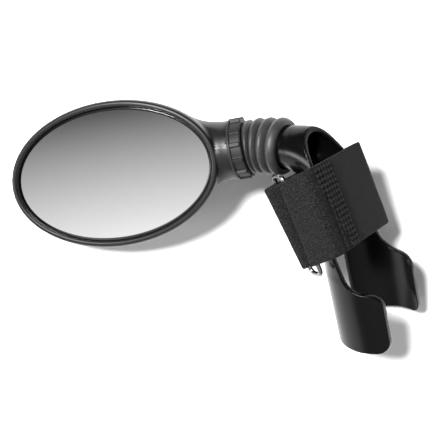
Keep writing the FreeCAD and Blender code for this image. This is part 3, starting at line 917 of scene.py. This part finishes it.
def ribbon(name, corners, materials, seed, shift=0.0, wave=0.12, relief=plain_face, pile=False,
           step=0.5, cross=0.6, bulge=no_bulge):
    """Closed sheet swept along its middle line, with its outer face on the right, and its length."""
    even, normal, at = rounded(corners, step)
    outline = strip_outline(cross)
    points = []
    uv = []
    for middle, left, run in zip(even, normal, at):
        for z_share, side in outline:
            z = z_share * STRAP_HALF
            push = wobble(middle[0], middle[1], z, WAVE_SCALE, seed) * wave
            if side < 0:
                lift = relief(run + shift, z)
                if pile:
                    lift += pile_at(middle, z, seed + 3)
                push -= lift * (1 - selvedge(z_share) ** 2)
            thick = half_thick(z_share, min(run, at[-1] - run))
            q = middle + left * (side * thick + push) + BULGE_WAY * bulge(run, z)
            points.append((q[0], q[1], z + SKEW[0] * middle[0] + SKEW[1] * middle[1] + SKEW[2]))
            uv.append((run + shift, z))
    count = len(outline)
    faces = ring_faces(len(even), count)
    faces.append(tuple(range(count)))
    faces.append(tuple((len(even) - 1) * count + c for c in range(count - 1, -1, -1)))
    obj = add_mesh(name, points, faces, STRAP, materials[0], uv)
    if len(materials) > 1:
        paint_past_hook_edge(obj, uv, materials[1])
    return obj, at[-1]


def strap():
    """The four layers of tape: band, keeper, tail and hook patch."""
    band, band_l = ribbon("band_cloth", BAND, [WOVEN], 1)
    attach(band, "bracket")
    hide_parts("strap_band")
    keeper, keeper_l = ribbon("keeper_cloth", KEEPER, [LOOP], 2, wave=0.06, bulge=keeper_bulge)
    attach(keeper, "bracket")
    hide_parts("strap_keeper")
    tail, tail_l = ribbon("tail_cloth", TAIL, [LOOP, HOOK], 3, shift=-TAIL_LONG, relief=hook_rows,
                          pile=True, step=0.3, cross=0.3)
    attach(tail, "tail")
    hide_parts("strap_tail")
    patch, patch_l = ribbon("patch_cloth", PATCH, [LOOP, HOOK], 4, wave=0.03, relief=hook_rows,
                            pile=True, step=0.3, cross=0.3)
    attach(patch, "tail")
    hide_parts("hook_patch")


# ---------------------------------------------------------------- floor, light, camera
LOOK = BALL + Vector((-17.72, -30.86, -9.57)) * MM
DISTANCE = 0.45
ELEVATION = math.radians(88.0)
FOCAL_PX = 1071.0
PHOTO_PX = 440.0
SENSOR_MM = 36.0
CLIP_START = 0.01
FLOOR_R = 4
FLOOR_Z = -0.0003
FLOOR_SIDES = 96


def camera():
    """Camera almost straight above, level with the photograph's sides."""
    data = bpy.data.cameras.new("camera")
    data.sensor_width = SENSOR_MM
    data.lens = SENSOR_MM * FOCAL_PX / PHOTO_PX
    data.clip_start = CLIP_START
    obj = bpy.data.objects.new("camera", data)
    bpy.context.scene.collection.objects.link(obj)
    away = Vector((0, -math.cos(ELEVATION), math.sin(ELEVATION)))
    obj.location = LOOK + away * DISTANCE
    obj.rotation_euler = (-away).to_track_quat("-Z", "Y").to_euler()
    bpy.context.scene.camera = obj


def area_light(name, place, aim, size, power):
    """Round area light at place, turned to aim."""
    data = bpy.data.lights.new(name, "AREA")
    data.shape = "DISK"
    data.size = size
    data.energy = power
    obj = bpy.data.objects.new(name, data)
    obj.location = place
    obj.rotation_euler = (Vector(aim) - Vector(place)).to_track_quat("-Z", "Y").to_euler()
    bpy.context.scene.collection.objects.link(obj)


def floor():
    """Pale round floor just under the part."""
    p = Paint("pale_floor", (0.9, 0.9, 0.9), 0.7, specular=0.2)
    cloud = p.noise(scale=8.0, detail=3.0)
    p.ramp(cloud, "Fac", [(0.3, grey(0.89, 0.0)), (0.7, grey(0.91, 0.0))], "Base Color")
    points = [(0, 0, FLOOR_Z)]
    for c in range(FLOOR_SIDES):
        angle = 2 * math.pi * c / FLOOR_SIDES
        points.append((FLOOR_R * math.cos(angle), FLOOR_R * math.sin(angle), FLOOR_Z))
    mesh = bpy.data.meshes.new("floor")
    mesh.from_pydata(points, [], fan_faces(0, 1, FLOOR_SIDES))
    mesh.materials.append(p.material)
    obj = bpy.data.objects.new("floor", mesh)
    bpy.context.scene.collection.objects.link(obj)


# Strength on the far and the near side, and the part of it that is left near the horizon.
SKY_DARK = 0.107
SKY_LIGHT = 1.07
SKY_AXIS = (0.032, -1.0, 0.0)
SKY_SPAN = (0.24, 0.5)
SKY_HEIGHTS = (0.1, 0.6)
SKY_LOW_SHARE = 0.35


def map_range(tree, source, out, low, high, at):
    """Map Range node from low and high at the two ends of at, fed by a node's output."""
    made = tree.nodes.new("ShaderNodeMapRange")
    made.inputs["From Min"].default_value, made.inputs["From Max"].default_value = at
    made.inputs["To Min"].default_value = low
    made.inputs["To Max"].default_value = high
    tree.links.new(source.outputs[out], made.inputs["Value"])
    return made


def sky():
    """Studio surround: brighter towards the near side and dimmer towards the horizon."""
    world = bpy.data.worlds.new("studio")
    bpy.context.scene.world = world
    world.use_nodes = True
    tree = world.node_tree
    back = tree.nodes["Background"]
    coordinates = tree.nodes.new("ShaderNodeTexCoord")
    dot = tree.nodes.new("ShaderNodeVectorMath")
    dot.operation = "DOT_PRODUCT"
    dot.inputs[1].default_value = Vector(SKY_AXIS).normalized()
    tree.links.new(coordinates.outputs["Generated"], dot.inputs[0])
    parts = tree.nodes.new("ShaderNodeSeparateXYZ")
    tree.links.new(coordinates.outputs["Generated"], parts.inputs["Vector"])
    spread = map_range(tree, dot, "Value", SKY_DARK, SKY_LIGHT, SKY_SPAN)
    height = map_range(tree, parts, "Z", SKY_LOW_SHARE, 1.0, SKY_HEIGHTS)
    both = tree.nodes.new("ShaderNodeMath")
    both.operation = "MULTIPLY"
    tree.links.new(spread.outputs["Result"], both.inputs[0])
    tree.links.new(height.outputs["Result"], both.inputs[1])
    tree.links.new(both.outputs["Value"], back.inputs["Strength"])
    back.inputs["Color"].default_value = (1, 1, 1, 1)


def carried_nodes():
    """Materials for the CAD nodes that show as they are."""
    paints = {"ball_stud": STEEL, "spring_washer": STEEL, "flat_washer": STEEL, "stud_nut": STEEL,
              "socket_liner": LINER, "socket_cup": CUP, "foam_pad": FOAM, "strap_ring": CHROME,
              "keeper_stitches": THREAD, "tail_stitches": THREAD}
    for node, paint in paints.items():
        obj = frame["nodes"][node]
        obj.data.materials.clear()
        obj.data.materials.append(paint)


bpy.context.scene.view_settings.view_transform = "Standard"
camera()
floor()
sky()
area_light("key", place=(-0.52, 0.23, 1.28), aim=(0.02, 0, 0.02), size=0.34, power=55.0)
area_light("side", place=(-0.83, -0.24, 0.24), aim=(0.03, 0.02, 0.05), size=0.24, power=3.4)
head_skins()
mirror_plate()
collar()
bellows()
bracket_skin()
strap()
carried_nodes()
